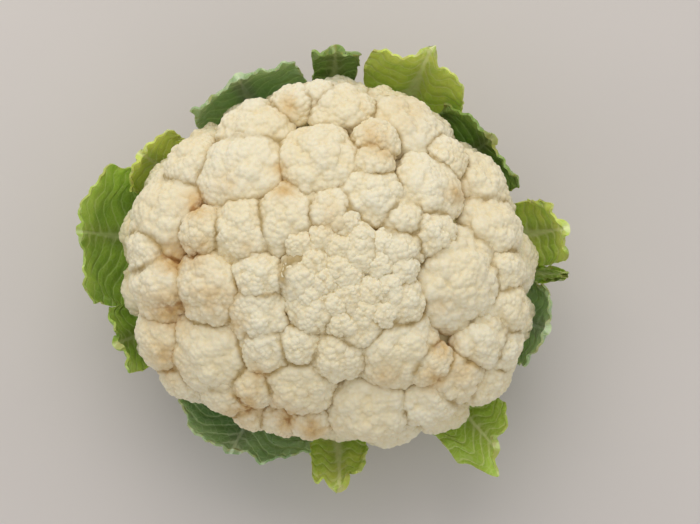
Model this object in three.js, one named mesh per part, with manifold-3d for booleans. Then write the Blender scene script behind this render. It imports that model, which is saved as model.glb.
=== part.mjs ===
// A trimmed cauliflower standing on its cut stalk, in millimetres with Z up.
// The origin is the middle of the stalk's cut face. The plant is built upright about its own
// axis and then leans a little toward -Y, so that a viewer in front looks onto the head.

import * as THREE from 'three';
import { ConvexHull } from 'three/addons/math/ConvexHull.js';
import { mergeVertices } from 'three/addons/utils/BufferGeometryUtils.js';
import Module from 'manifold-3d';

const wasm = await Module();
wasm.setup();

// The whole plant
const LEAN = THREE.MathUtils.degToRad(8);
const GAP = 0.3;
const GOLDEN_ANGLE = Math.PI * (3 - Math.sqrt(5));
const UP = new THREE.Vector3(0, 0, 1);
const TINY = 0.01;

// The head: half sizes of the outline it fills, about the middle of its widest plane
// and the uneven swellings of that outline: how many go round, how high, and the azimuth of one
const HEAD_MIDDLE = new THREE.Vector3(0, 0, 70);
const HEAD_HALF_X = 95;
const HEAD_HALF_Y = 87;
const SWELLINGS = [
  { count: 1, height: 0.027, azimuth: -76 },
  { count: 2, height: 0.036, azimuth: -25 },
  { count: 3, height: 0.036, azimuth: -39 },
];
const HEAD_RISE = 62;
const HEAD_DROP = 42;
const RIM_SHARE = 0.97;
const CORE_SHARE = 0.82;
const NECK_HEIGHT = 38;
const BRANCHES = 11;
const BRANCH_RELIEF = 0.05;
const BRANCH_FADE = 0.5;

// The lumps that each floret is made of
const FLORET_MARGIN = 2.8;
const FACE_SHIFT = 0.5;
const FITTING_STEPS = 12;
const FLORET_PRESS = 0.75;
const LUMP_SPACING = 11;
const LUMP_RISE = 2.2;
const LUMP_SHOULDER = 0.62;
const SHOULDER_RISE = 1.5;
const LUMP_CREASE = 1.4;
const FLORET_CREASE = 2.5;
const LUMP_FACING = 0.45;
const LUMP_CLOSENESS = 0.62;
const PLAIN_SPACING = 15;
const PLAIN_CLOSENESS = 0.7;

// Florets as seen along the head's axis: x, y and radius
const FLORETS = [
  [-36.5, 38.5, 19], [-33, 58, 15.5], [-3, 42, 16], [7, 68, 12], [-14.5, 71, 8.5],
  [35.5, 59.5, 18], [21.5, 53, 7.5], [20.5, 42.5, 6], [42.5, 30.5, 14.5], [20, 26.5, 12.5],
  [69, 34.5, 14.5], [73.5, 13, 15], [56, -8, 20], [78, -4, 9], [79, -21, 10],
  [67, -35, 11.5], [77, -38, 9.5], [56, -50, 11.5], [45, -61, 11], [30, -36.5, 15.5],
  [20.5, -65, 18], [-13, -52, 14.5], [4.5, -39.5, 9.5], [-26, -36.5, 9.5], [-50, -41, 19],
  [-44.5, -57, 11.5], [-33, -54, 8.5], [-74, -35, 13], [-74, -11, 13], [-49, -11, 14],
  [-70.5, 19, 20], [-60.5, 43, 12], [-53, 12.5, 8], [-35.5, 13, 12.5], [-16, 17.5, 13],
  [1.5, 19, 9.5], [30, 5, 8.5], [14, 5, 7.5], [-28.5, -6.5, 9], [-10, -6.5, 9],
  [-28.5, -21, 11], [13, -25, 10.5], [-5.5, -21, 9], [30, -17, 9], [-11.5, -35, 7.5],
  [44.5, -44, 7.5], [53, 46, 8], [-34, -68, 8], [-21.5, -70.5, 8], [-9, -71.5, 8],
  [-4, 74, 7], [-79, 4.5, 10], [-68, -53, 9.5], [71, -53, 9.5], [45, 12, 8],
  [32, 18, 7],
];

// The youngest florets crowd in a spiral at the growing point
const YOUNG_FLORETS = 23;
const YOUNG_MIDDLE_X = 9;
const YOUNG_MIDDLE_Y = -6;
const YOUNG_STEP = 5.2;
const YOUNG_RADIUS = 6.6;

// The oldest florets hang in two rings under the widest plane, each this far below it
// and this far inside the outline
const UNDER_RINGS = [
  { count: 21, radius: 15, drop: 4, inset: 17.5 },
  { count: 17, radius: 13.5, drop: 20, inset: 29 },
];
const UNDER_UNEVENNESS = 0.2;

// The stalk
const STALK_RADIUS = 24;
const STALK_FOOT_RADIUS = 28;
const STALK_WAIST_RADIUS = 22;
const STALK_FOOT_HEIGHT = 3;
const STALK_WAIST_HEIGHT = 12;
const STALK_SIDES = 28;
const CUT_ALLOWANCE = 2;
const CUTTER_SIZE = 4 * STALK_FOOT_RADIUS;

// The leaves: each lies in a bowl round the head, from the stalk up to its trimmed end.
// The outer layer lies lower and wider than the inner one, so that blades can overlap.
const BOWL_DEPTH = 48;
const BOWL_CLEARANCE = 3.5;
const BOWL_SQUARENESS = 0.8;
const LAYER_DROP = 9;
const LAYER_STEP = 5;
const LEAF_ROOT_RADIUS = 20;
const PETIOLE_WIDTH = 13.5;
const PETIOLE_THICKNESS = 6.4;
const TIP_RIB_THICKNESS = 2.2;
const RIB_WIDTH = 9;
const BLADE_THICKNESS = 1.2;
const BLADE_START = 0.24;
const BLADE_FULL = 0.68;
const FLARE_POWER = 5;
const END_ROUNDING = 0.13;
const END_ROUNDING_POWER = 4;
const END_LOBE_DEPTH = 0.025;
const END_LOBES = 7;
const END_NOTCH_DEPTH = 0.012;
const END_NOTCHES = 13;
const EDGE_LOBE_DEPTH = 0.04;
const EDGE_LOBES = 17;
const EDGE_CURVE_START = 0.2;
const EDGE_CURVE_FULL = 0.9;
const TURN_DONE = 0.7;
const WAVE_START = 0.5;
const WAVE_EDGE_POWER = 1.5;
const RIB_TAPER_START = 0.1;
const WAVES_ROUND_HEAD = 19;
const WAVES_ALONG = 7;
const LEAF_ROWS = 13;
const LEAF_COLUMNS = 8;

// Each leaf: azimuths of root and end in degrees, reach from the axis, height of the end, width,
// layer, wave height, how much more one side flares, and a pointed tip given by how far it
// sticks out as a share of the length, where across the blade it is, and its breadth
const LEAF_KEYS = [
  'root', 'end', 'reach', 'height', 'width', 'layer', 'wave', 'skew', 'peak', 'peakAt', 'peakWidth', 'tone',
];
const LEAVES = [
  [18, 8, 105, 82, 30, 1, 2, -0.3, 0.03, -0.3, 0.5, 'bright'],
  [38, 37, 90.5, 78, 50, 0, 1.5, 0.9, 0, 0, 1, 'dark'],
  [60, 64, 100, 80, 48, 1, 2.5, -0.35, 0.18, 0, 0.13, 'bright'],
  [99, 88, 93, 84, 21, 1, 2, 0, 0, 0, 1, 'dark'],
  [112, 116, 90, 82, 54, 0, 2, -0.4, 0, 0, 1, 'blue'],
  [150, 150, 96, 76, 33, 0, 2, 0.1, 0, 0, 1, 'bright'],
  [168, 173, 110, 80, 66, 1, 2, -0.2, 0.06, -0.35, 0.35, 'mid'],
  [197, 201, 100, 74, 31, 0, 1.5, 0.5, 0.18, 0.9, 0.4, 'mid'],
  [238, 243, 96, 67, 66, 0, 2, -0.6, 0, 0, 1, 'blue'],
  [262, 273, 98, 74, 26, 1, 2, -0.6, 0.1, -0.1, 0.25, 'bright'],
  [291, 312, 112, 73, 35, 0, 2, -0.55, 0.06, -0.45, 0.25, 'bright'],
  [331, 343, 102, 75, 40, 0, 2, 0, 0, 0, 1, 'blue'],
  [340, 357, 106, 70, 4, 1, 0.5, 0, 0, 0, 1, 'mid'],
].map((values) => Object.fromEntries(LEAF_KEYS.map((key, place) => [key, values[place]])));

// Finishes
const CURD_COLOUR = 0xe3d7b6;
const CURD_ROUGHNESS = 0.75;
const STALK_COLOUR = 0xc9cf9f;
const STALK_ROUGHNESS = 0.7;
const LEAF_COLOURS = {
  bright: 0x7f9632,
  mid: 0x5f7f2c,
  dark: 0x3f5c26,
  blue: 0x6d8b6f,
};
const LEAF_ROUGHNESS = 0.55;

function smoothstep(from, to, value) {
  return THREE.MathUtils.smoothstep(value, from, to);
}

// Head outline

function outlineRadius(azimuth) {
  const x = Math.cos(azimuth) / HEAD_HALF_X;
  const y = Math.sin(azimuth) / HEAD_HALF_Y;
  let swelling = 1;
  for (const { count, height, azimuth: top } of SWELLINGS) {
    swelling += height * Math.cos(count * (azimuth - THREE.MathUtils.degToRad(top)));
  }
  return swelling / Math.hypot(x, y);
}

function shareOfOutline(x, y) {
  return Math.hypot(x, y) / outlineRadius(Math.atan2(y, x));
}

function domeDistance(direction) {
  const rise = direction.z > 0 ? HEAD_RISE : HEAD_DROP;
  return 1 / Math.hypot(shareOfOutline(direction.x, direction.y), direction.z / rise);
}

function pointOnDome(x, y) {
  const across = shareOfOutline(x, y);
  const inward = Math.min(1, RIM_SHARE / Math.max(across, TINY));
  const height = HEAD_RISE * Math.sqrt(1 - (across * inward) ** 2);
  return new THREE.Vector3(x * inward, y * inward, height);
}

function slopeOfDome(point) {
  const outline = outlineRadius(Math.atan2(point.y, point.x));
  const across = outline ** 2;
  return new THREE.Vector3(point.x / across, point.y / across, point.z / HEAD_RISE ** 2).normalize();
}

// A floret touches the dome from inside. What is seen of it lies between its middle and the
// touching point, and the step from one to the other follows the dome's slope there,
// so the touching point is found by a few repeated guesses.
function floretOnDome(x, y, radius) {
  let touching = pointOnDome(x, y);
  for (let i = 0; i < FITTING_STEPS; i += 1) {
    const step = slopeOfDome(touching).multiplyScalar(FACE_SHIFT * radius);
    touching = pointOnDome(x + step.x, y + step.y);
  }
  const middle = touching.clone().addScaledVector(slopeOfDome(touching), -radius);
  return { middle, radius };
}

function youngFlorets() {
  const florets = [];
  for (let i = 0; i < YOUNG_FLORETS; i += 1) {
    const distance = YOUNG_STEP * Math.sqrt(i);
    const x = YOUNG_MIDDLE_X + distance * Math.cos(i * GOLDEN_ANGLE);
    const y = YOUNG_MIDDLE_Y + distance * Math.sin(i * GOLDEN_ANGLE);
    florets.push(floretOnDome(x, y, YOUNG_RADIUS));
  }
  return florets;
}

function underFlorets() {
  const florets = [];
  for (const { count, radius, drop, inset } of UNDER_RINGS) {
    for (let i = 0; i < count; i += 1) {
      const azimuth = (i / count) * 2 * Math.PI;
      const shrink = 1 - UNDER_UNEVENNESS * Math.sin(i * i) ** 2;
      const distance = outlineRadius(azimuth) - inset;
      const x = distance * Math.cos(azimuth);
      const y = distance * Math.sin(azimuth);
      florets.push({ middle: new THREE.Vector3(x, y, -drop), radius: radius * shrink });
    }
  }
  return florets;
}

const florets = [
  ...FLORETS.map(([x, y, radius]) => floretOnDome(x, y, radius + FLORET_MARGIN)),
  ...youngFlorets(),
  ...underFlorets(),
];

// Distances from the head's middle along a direction

function coreDistance(direction) {
  const azimuth = Math.atan2(direction.y, direction.x);
  const underside = smoothstep(0, BRANCH_FADE, -direction.z);
  const branches = 1 + BRANCH_RELIEF * Math.cos(BRANCHES * azimuth) * underside;
  const neck = (NECK_HEIGHT + GAP - HEAD_MIDDLE.z) / Math.min(direction.z, -TINY);
  return Math.min(CORE_SHARE * branches * domeDistance(direction), neck);
}

function floretDistance(floret, direction) {
  const along = direction.dot(floret.middle);
  const inside = along ** 2 - floret.middle.lengthSq() + floret.radius ** 2;
  return inside > 0 ? along + Math.sqrt(inside) : 0;
}

// Florets grow pressed against each other, which flattens them toward the dome
function headDistance(direction) {
  const reach = Math.max(...florets.map((floret) => floretDistance(floret, direction)));
  const dome = domeDistance(direction);
  const pressed = dome - FLORET_PRESS * (dome - reach);
  return Math.max(coreDistance(direction), pressed);
}

// Lumps: spread evenly over each floret wherever it stands clear of the others

function spiralDirection(index, count) {
  const z = 1 - (2 * index + 1) / count;
  const width = Math.sqrt(1 - z * z);
  const turn = index * GOLDEN_ANGLE;
  return new THREE.Vector3(width * Math.cos(turn), width * Math.sin(turn), z);
}

function isInsideAnother(point, owner) {
  return florets.some((floret) => floret !== owner && floret.middle.distanceTo(point) < floret.radius);
}

function lumpsOfFloret(owner) {
  const lumps = [];
  const count = Math.max(1, Math.round((4 * Math.PI * owner.radius ** 2) / LUMP_SPACING ** 2));
  const turn = new THREE.Quaternion().setFromUnitVectors(UP, owner.middle.clone().normalize());
  for (let i = 0; i < count; i += 1) {
    const outward = (i === 0 ? UP.clone() : spiralDirection(i, count)).applyQuaternion(turn);
    const point = outward.clone().multiplyScalar(owner.radius).add(owner.middle);
    const direction = point.clone().normalize();
    const facesOut = outward.dot(direction) > LUMP_FACING;
    if (facesOut && !isInsideAnother(point, owner)) lumps.push({ direction, owner, point });
  }
  return lumps;
}

function plainPoints(lumps) {
  const points = [];
  const count = Math.round((4 * Math.PI * HEAD_HALF_Y ** 2) / PLAIN_SPACING ** 2);
  for (let i = 0; i < count; i += 1) {
    const direction = spiralDirection(i, count);
    const point = direction.clone().multiplyScalar(headDistance(direction));
    const crowded = lumps.some((lump) => lump.point.distanceTo(point) < PLAIN_SPACING * PLAIN_CLOSENESS);
    if (!crowded) points.push({ direction, owner: null, point });
  }
  return points;
}

function spreadLumps() {
  const lumps = [];
  for (const floret of florets) {
    for (const lump of lumpsOfFloret(floret)) {
      const clearance = LUMP_SPACING * LUMP_CLOSENESS;
      const crowded = lumps.some((other) => other.point.distanceTo(lump.point) < clearance);
      if (!crowded) lumps.push(lump);
    }
  }
  return [...lumps, ...plainPoints(lumps)];
}

// Head surface: lumps are joined across the corners where three of them meet

function cornersBetween(lumps) {
  const hull = new ConvexHull().setFromPoints(lumps.map((lump) => lump.direction));
  const indexOf = new Map(lumps.map((lump, index) => [lump.direction, index]));
  return hull.faces.map((face) => {
    const first = face.edge;
    const heads = [first, first.next, first.next.next];
    return heads.map((edge) => indexOf.get(edge.head().point));
  });
}

function cornerDistance(direction, owners) {
  const surface = headDistance(direction);
  if (owners.includes(null)) return surface;
  const sameFloret = owners.every((owner) => owner === owners[0]);
  const crease = sameFloret ? LUMP_CREASE : FLORET_CREASE;
  return Math.max(coreDistance(direction), surface - crease);
}

function cornersInOrder(lumpIndex, corners) {
  const next = new Map();
  corners.forEach((corner, cornerIndex) => {
    const place = corner.indexOf(lumpIndex);
    if (place < 0) return;
    const from = corner[(place + 1) % 3];
    const to = corner[(place + 2) % 3];
    next.set(from, { cornerIndex, to });
  });
  const ordered = [];
  let neighbour = next.keys().next().value;
  for (let i = 0; i < next.size; i += 1) {
    const step = next.get(neighbour);
    ordered.push(step.cornerIndex);
    neighbour = step.to;
  }
  return ordered;
}

function headGeometry() {
  const lumps = spreadLumps();
  const corners = cornersBetween(lumps);
  const vertices = corners.map((corner) => {
    const direction = new THREE.Vector3();
    corner.forEach((index) => direction.add(lumps[index].direction));
    direction.normalize();
    const owners = corner.map((index) => lumps[index].owner);
    return direction.multiplyScalar(cornerDistance(direction, owners));
  });
  const triangles = [];
  lumps.forEach((lump, lumpIndex) => {
    const ring = cornersInOrder(lumpIndex, corners);
    const top = vertices.length;
    const rise = lump.owner ? LUMP_RISE : 0;
    vertices.push(lump.direction.clone().multiplyScalar(headDistance(lump.direction) + rise));
    if (lump.owner) {
      ring.forEach((cornerIndex) => {
        const corner = vertices[cornerIndex].clone().normalize();
        const shoulder = lump.direction.clone().lerp(corner, LUMP_SHOULDER).normalize();
        vertices.push(shoulder.multiplyScalar(headDistance(shoulder) + SHOULDER_RISE));
      });
    }
    ring.forEach((corner, i) => {
      const after = (i + 1) % ring.length;
      const nextCorner = ring[after];
      if (!lump.owner) {
        triangles.push(top, corner, nextCorner);
        return;
      }
      const shoulder = top + 1 + i;
      const nextShoulder = top + 1 + after;
      triangles.push(top, shoulder, nextShoulder);
      triangles.push(shoulder, corner, nextCorner);
      triangles.push(shoulder, nextCorner, nextShoulder);
    });
  });
  const geometry = new THREE.BufferGeometry().setFromPoints(vertices);
  geometry.setIndex(triangles);
  return geometry.translate(HEAD_MIDDLE.x, HEAD_MIDDLE.y, HEAD_MIDDLE.z);
}

// Stalk

function stalkColumn(growth) {
  const below = -STALK_FOOT_RADIUS * Math.sin(LEAN) - CUT_ALLOWANCE;
  const points = [
    [0, below],
    [STALK_FOOT_RADIUS + growth, below],
    [STALK_FOOT_RADIUS + growth, STALK_FOOT_HEIGHT],
    [STALK_WAIST_RADIUS + growth, STALK_WAIST_HEIGHT],
    [STALK_RADIUS + growth, NECK_HEIGHT],
    [0, NECK_HEIGHT],
  ];
  const profile = points.map(([x, y]) => new THREE.Vector2(x, y));
  return new THREE.LatheGeometry(profile, STALK_SIDES).rotateX(Math.PI / 2);
}

function toManifold(geometry) {
  const bare = geometry.clone();
  bare.deleteAttribute('normal');
  bare.deleteAttribute('uv');
  const merged = mergeVertices(bare);
  const mesh = new wasm.Mesh({
    numProp: 3,
    vertProperties: new Float32Array(merged.attributes.position.array),
    triVerts: new Uint32Array(merged.index.array),
  });
  return new wasm.Manifold(mesh);
}

function fromManifold(solid) {
  const mesh = solid.getMesh();
  const geometry = new THREE.BufferGeometry();
  geometry.setAttribute('position', new THREE.BufferAttribute(mesh.vertProperties, 3));
  geometry.setIndex(new THREE.BufferAttribute(mesh.triVerts, 1));
  return geometry;
}

function stalkGeometry() {
  const column = stalkColumn(0).rotateX(LEAN);
  const cutter = new THREE.BoxGeometry(CUTTER_SIZE, CUTTER_SIZE, CUTTER_SIZE);
  cutter.translate(0, 0, -CUTTER_SIZE / 2);
  return fromManifold(toManifold(column).subtract(toManifold(cutter)));
}

// Leaves

function bladeEnd(leaf, across) {
  const lobes = END_LOBE_DEPTH * Math.sin(END_LOBES * across + leaf.end);
  const notches = END_NOTCH_DEPTH * Math.sin(END_NOTCHES * across + 2 * leaf.end);
  const tip = leaf.peak * Math.exp(-(((across - leaf.peakAt) / leaf.peakWidth) ** 2));
  return 1 - END_ROUNDING * across ** END_ROUNDING_POWER + lobes + notches + tip;
}

function leafHalfWidth(leaf, along) {
  const spread = smoothstep(BLADE_START, BLADE_FULL, along);
  const edge = 1 + EDGE_LOBE_DEPTH * spread * Math.sin(EDGE_LOBES * along + leaf.end);
  return (THREE.MathUtils.lerp(PETIOLE_WIDTH, leaf.width, spread) * edge) / 2;
}

function bowlShare(value) {
  return Math.sign(value) * Math.abs(value) ** BOWL_SQUARENESS;
}

function leafMiddle(leaf, row, across) {
  const curve = smoothstep(EDGE_CURVE_START, EDGE_CURVE_FULL, row);
  const along = row * bladeEnd(leaf, across * curve);
  const root = THREE.MathUtils.degToRad(leaf.root);
  const end = THREE.MathUtils.degToRad(leaf.end);
  const seenAzimuth = end + (across * leaf.width) / 2 / HEAD_HALF_X;
  const bowlRadius = outlineRadius(seenAzimuth) + BOWL_CLEARANCE + leaf.layer * LAYER_STEP;
  const bowlDepth = BOWL_DEPTH + leaf.layer * LAYER_DROP;
  const rootAngle = Math.asin((LEAF_ROOT_RADIUS / bowlRadius) ** (1 / BOWL_SQUARENESS));
  const drop = (HEAD_MIDDLE.z - leaf.height) / bowlDepth;
  const endAngle = Math.acos(Math.sign(drop) * Math.abs(drop) ** (1 / BOWL_SQUARENESS));
  const angle = THREE.MathUtils.lerp(rootAngle, endAngle, along);
  const overhang = leaf.reach - bowlRadius * bowlShare(Math.sin(endAngle));
  const flare = overhang * along ** FLARE_POWER * (1 + leaf.skew * across);
  const radius = bowlRadius * bowlShare(Math.sin(angle)) + flare;
  const height = HEAD_MIDDLE.z - bowlDepth * bowlShare(Math.cos(angle));
  const turn = (end - root) * smoothstep(0, TURN_DONE, along);
  const azimuth = root + turn + (across * leafHalfWidth(leaf, along)) / radius;
  return new THREE.Vector3(radius * Math.cos(azimuth), radius * Math.sin(azimuth), height);
}

function leafOutward(leaf, row, across) {
  const alongStep = leafMiddle(leaf, row + TINY, across).sub(leafMiddle(leaf, row - TINY, across));
  const acrossStep = leafMiddle(leaf, row, across + TINY).sub(leafMiddle(leaf, row, across - TINY));
  return acrossStep.cross(alongStep).normalize();
}

function leafRuffle(leaf, row, across) {
  const middle = leafMiddle(leaf, row, across);
  const azimuth = Math.atan2(middle.y, middle.x);
  const edge = Math.abs(across) ** WAVE_EDGE_POWER * smoothstep(WAVE_START, 1, row);
  return leaf.wave * edge * Math.sin(WAVES_ROUND_HEAD * azimuth + WAVES_ALONG * row);
}

function leafThickness(leaf, row, across) {
  const ribShare = 1 - (across * leafHalfWidth(leaf, row) * 2) ** 2 / RIB_WIDTH ** 2;
  const taper = smoothstep(RIB_TAPER_START, 1, row);
  const rib = THREE.MathUtils.lerp(PETIOLE_THICKNESS, TIP_RIB_THICKNESS, taper);
  const petiole = 1 - smoothstep(BLADE_START, BLADE_FULL, row);
  const round = Math.sqrt(Math.max(0, 1 - across ** 2));
  return BLADE_THICKNESS + rib * Math.max(petiole * round, Math.max(0, ribShare));
}

function leafBlade(leaf) {
  const vertices = [];
  const triangles = [];
  const face = (LEAF_ROWS + 1) * (LEAF_COLUMNS + 1);
  const corner = (row, column, side) => side * face + row * (LEAF_COLUMNS + 1) + column;
  for (const side of [0, 1]) {
    for (let i = 0; i <= LEAF_ROWS; i += 1) {
      for (let j = 0; j <= LEAF_COLUMNS; j += 1) {
        const row = i / LEAF_ROWS;
        const across = (2 * j) / LEAF_COLUMNS - 1;
        const outward = leafOutward(leaf, row, across);
        const offset = leafRuffle(leaf, row, across) + side * leafThickness(leaf, row, across);
        vertices.push(leafMiddle(leaf, row, across).addScaledVector(outward, offset));
      }
    }
  }
  const quad = (a, b, c, d) => triangles.push(a, b, c, a, c, d);
  for (let i = 0; i < LEAF_ROWS; i += 1) {
    for (let j = 0; j < LEAF_COLUMNS; j += 1) {
      quad(corner(i, j, 0), corner(i + 1, j, 0), corner(i + 1, j + 1, 0), corner(i, j + 1, 0));
      triangles.push(corner(i, j, 1), corner(i + 1, j + 1, 1), corner(i + 1, j, 1));
      triangles.push(corner(i, j, 1), corner(i, j + 1, 1), corner(i + 1, j + 1, 1));
    }
    const last = LEAF_COLUMNS;
    quad(corner(i, 0, 0), corner(i, 0, 1), corner(i + 1, 0, 1), corner(i + 1, 0, 0));
    quad(corner(i, last, 0), corner(i + 1, last, 0), corner(i + 1, last, 1), corner(i, last, 1));
  }
  for (let j = 0; j < LEAF_COLUMNS; j += 1) {
    const last = LEAF_ROWS;
    quad(corner(0, j, 0), corner(0, j + 1, 0), corner(0, j + 1, 1), corner(0, j, 1));
    quad(corner(last, j, 0), corner(last, j, 1), corner(last, j + 1, 1), corner(last, j + 1, 0));
  }
  const geometry = new THREE.BufferGeometry().setFromPoints(vertices);
  geometry.setIndex(triangles);
  return geometry;
}

function leafGeometry(leaf) {
  return fromManifold(toManifold(leafBlade(leaf)).subtract(toManifold(stalkColumn(GAP))));
}

// Assembly

function namedMesh(name, geometry, colour, roughness) {
  geometry.computeVertexNormals();
  const material = new THREE.MeshStandardMaterial({ color: colour, roughness, metalness: 0 });
  const mesh = new THREE.Mesh(geometry, material);
  mesh.name = name;
  return mesh;
}

const plant = new THREE.Group();
plant.rotation.x = LEAN;
plant.add(namedMesh('curd', headGeometry(), CURD_COLOUR, CURD_ROUGHNESS));
LEAVES.forEach((leaf, index) => {
  const name = `leaf_${String(index + 1).padStart(2, '0')}`;
  plant.add(namedMesh(name, leafGeometry(leaf), LEAF_COLOURS[leaf.tone], LEAF_ROUGHNESS));
});

const group = new THREE.Group();
group.add(namedMesh('stalk', stalkGeometry(), STALK_COLOUR, STALK_ROUGHNESS));
group.add(plant);

export default group;
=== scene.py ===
# %% [markdown]
# # A trimmed cauliflower
#
# A cauliflower is a crowd of flower buds. Every bud sits on a short stem, the stems join into
# florets, and the florets press together into one dome called the curd. A ring of leaves,
# cut short for the shop, holds the dome, and a thick stalk cut flat carries it all.
#
# The model keeps that order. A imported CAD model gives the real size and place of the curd,
# each leaf and the stalk, and this lesson dresses it: florets built lump on lump, leaves with
# their veins and ruffled ends, and materials whose colours come from how the thing grew.

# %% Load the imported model
import math

import bpy
import numpy as np
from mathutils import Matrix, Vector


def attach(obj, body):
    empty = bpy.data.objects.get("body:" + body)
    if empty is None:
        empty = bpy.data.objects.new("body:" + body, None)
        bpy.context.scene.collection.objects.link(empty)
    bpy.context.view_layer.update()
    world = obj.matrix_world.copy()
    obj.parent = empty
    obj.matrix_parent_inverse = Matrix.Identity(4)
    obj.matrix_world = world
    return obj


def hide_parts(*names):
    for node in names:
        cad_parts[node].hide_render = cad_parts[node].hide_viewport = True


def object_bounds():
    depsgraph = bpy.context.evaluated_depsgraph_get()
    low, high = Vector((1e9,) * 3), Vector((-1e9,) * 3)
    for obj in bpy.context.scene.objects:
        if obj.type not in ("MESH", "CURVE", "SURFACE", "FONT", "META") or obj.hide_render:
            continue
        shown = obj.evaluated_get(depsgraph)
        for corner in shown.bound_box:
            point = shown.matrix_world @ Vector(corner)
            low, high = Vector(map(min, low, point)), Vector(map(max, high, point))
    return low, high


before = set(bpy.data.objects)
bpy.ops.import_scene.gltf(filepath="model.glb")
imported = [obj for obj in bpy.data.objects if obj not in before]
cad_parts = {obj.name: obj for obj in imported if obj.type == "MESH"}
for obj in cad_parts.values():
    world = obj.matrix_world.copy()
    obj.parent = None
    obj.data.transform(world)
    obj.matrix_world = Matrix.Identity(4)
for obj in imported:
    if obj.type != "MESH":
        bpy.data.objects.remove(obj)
cad_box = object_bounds()
cad_low, cad_high = (np.array(corner) for corner in cad_box)
print("CAD box in mm:", np.round((cad_high - cad_low) * 1000, 1))

# %% [markdown]
# ## Units, seeds and the lean of the plant
#
# Lengths are written in millimetres times MM, because Blender works in metres. Lists of places
# and sizes, and the few values used with them, hold plain millimetres, which are multiplied by
# MM where they are read. The plant is described upright about its own axis, which is the easy
# way to think about something that grew round a stem. Then it is leaned a little toward the
# viewer, as it stands on its cut.

# %% Units and the lean
MM = 0.001
LEAN = math.radians(8)
GOLDEN_ANGLE = math.pi * (3 - math.sqrt(5))


def lean(points):
    """Turns upright plant points about the X axis, as the standing plant leans."""
    x, y, z = points.T
    leaned_y = y * math.cos(LEAN) - z * math.sin(LEAN)
    leaned_z = y * math.sin(LEAN) + z * math.cos(LEAN)
    return np.stack([x, leaned_y, leaned_z], axis=1)


def unit(vectors):
    """The same vectors, each one long."""
    return vectors / np.linalg.norm(vectors, axis=-1, keepdims=True)


def smooth_ramp(start, stop, value):
    """Rises softly from 0 at start to 1 at stop."""
    share = np.clip((value - start) / (stop - start), 0, 1)
    return share * share * (3 - 2 * share)


print("The plant's axis points along", lean(np.array([[0, 0, 1.0]]))[0].round(3))

# %% [markdown]
# ## Camera, table and light
#
# The head is seen almost from straight above, so the camera looks down its axis. It stands
# well back with a long lens, which keeps the outline of the dome from swelling.
# Overcast window light is one large soft lamp high on the far side and a bright pale world:
# creases between florets stay soft, and the shadow falls on the near side.

# %% Camera
HEAD_MIDDLE_HEIGHT = 70 * MM
VIEW_WIDTH = 317 * MM
VIEW_DISTANCE = 820 * MM
VIEW_OFFSET = 10 * MM
SENSOR_WIDTH = 36

aim = lean(np.array([[VIEW_OFFSET, 0, HEAD_MIDDLE_HEIGHT]]))[0]
axis = lean(np.array([[0, 0, 1.0]]))[0]
bpy.ops.object.camera_add(location=aim + axis * VIEW_DISTANCE, rotation=(LEAN, 0, 0))
camera = bpy.context.object
camera.data.sensor_width = SENSOR_WIDTH
camera.data.lens = SENSOR_WIDTH * VIEW_DISTANCE / VIEW_WIDTH
bpy.context.scene.camera = camera
bpy.context.scene.view_settings.view_transform = "Standard"
print("Lens in mm:", round(camera.data.lens, 1))

# %% Table
TABLE_SIZE = 6000 * MM

bpy.ops.mesh.primitive_plane_add(size=TABLE_SIZE)
table = bpy.context.object
table.name = "table"
print("Table:", TABLE_SIZE, "m square")

# %% Light
LAMP_PLACE = (-100 * MM, 750 * MM, 950 * MM)
LAMP_TURN = (math.radians(-40), math.radians(-6), 0)
LAMP_SIZE = 1100 * MM
LAMP_POWER = 6.6
LAMP_COLOUR = (1.0, 0.97, 0.93)
SKY_COLOUR = (0.95, 0.97, 1.0, 1)
SKY_STRENGTH = 0.7

bpy.ops.object.light_add(type="AREA", location=LAMP_PLACE)
lamp = bpy.context.object
lamp.rotation_euler = LAMP_TURN
lamp.data.size = LAMP_SIZE
lamp.data.energy = LAMP_POWER
lamp.data.color = LAMP_COLOUR

world = bpy.data.worlds.new("soft_sky")
bpy.context.scene.world = world
world.use_nodes = True
sky = world.node_tree.nodes["Background"].inputs
sky["Color"].default_value = SKY_COLOUR
sky["Strength"].default_value = SKY_STRENGTH
print("Lamp:", LAMP_POWER, "W over", LAMP_SIZE, "m, sky strength", SKY_STRENGTH)

# %% [markdown]
# ## Writing materials as sums
#
# A material is a graph of nodes, and a graph reads badly as a list of links. The small class
# below wraps one socket, so that 1 - mask * 0.5 adds its Math nodes by itself. Its node()
# method adds any other kind of node: it takes the type, the settings and what feeds its
# sockets, and gives back the output as another Wire. A Mix node has a set of sockets for each
# kind of value, so its colour sockets are found by number.

# %% The Wire class
MIX_FIRST = 6
MIX_SECOND = 7
MIX_RESULT = 2


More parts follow.
